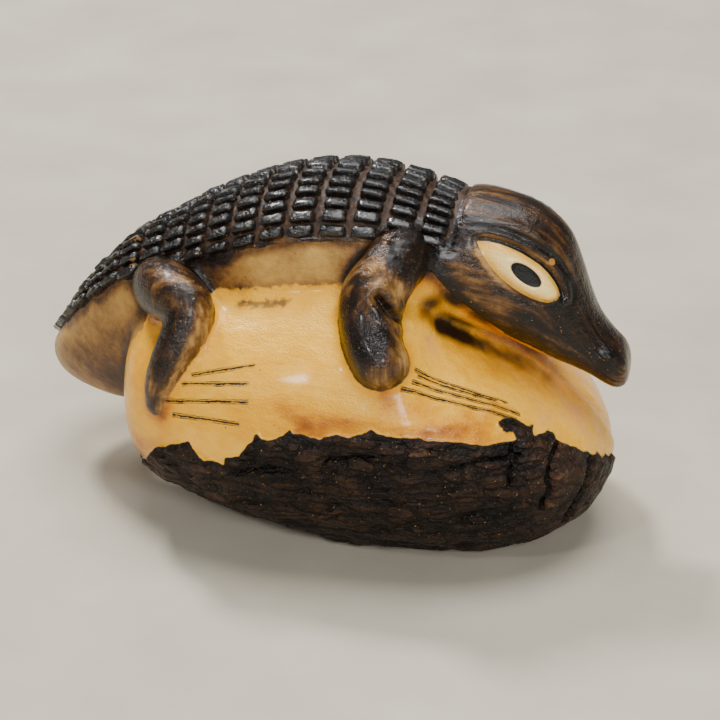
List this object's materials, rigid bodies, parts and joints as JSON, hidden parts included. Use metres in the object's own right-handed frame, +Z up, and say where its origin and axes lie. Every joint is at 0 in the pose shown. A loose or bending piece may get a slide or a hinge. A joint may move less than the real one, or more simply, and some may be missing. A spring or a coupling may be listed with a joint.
{
  "type": "carved caiman figurine",
  "caption": "Small caiman carved from one palm nut: it lies along the top of the nut with its tail curled round, on the uncarved husk.",
  "frame": {"origin": "on the table, below the middle of the carving's box", "axes": "+X towards the snout, +Y to the caiman's left, +Z up"},
  "size_m": [0.0572, 0.0344, 0.0346],
  "materials": {
    "stained_tagua": "polished palm-nut ivory, stained brown-black in the carving, with the dark husk left underneath"
  },
  "bodies": {
    "root": {"tagua_caiman": "stained_tagua"}
  },
  "joints": []
}
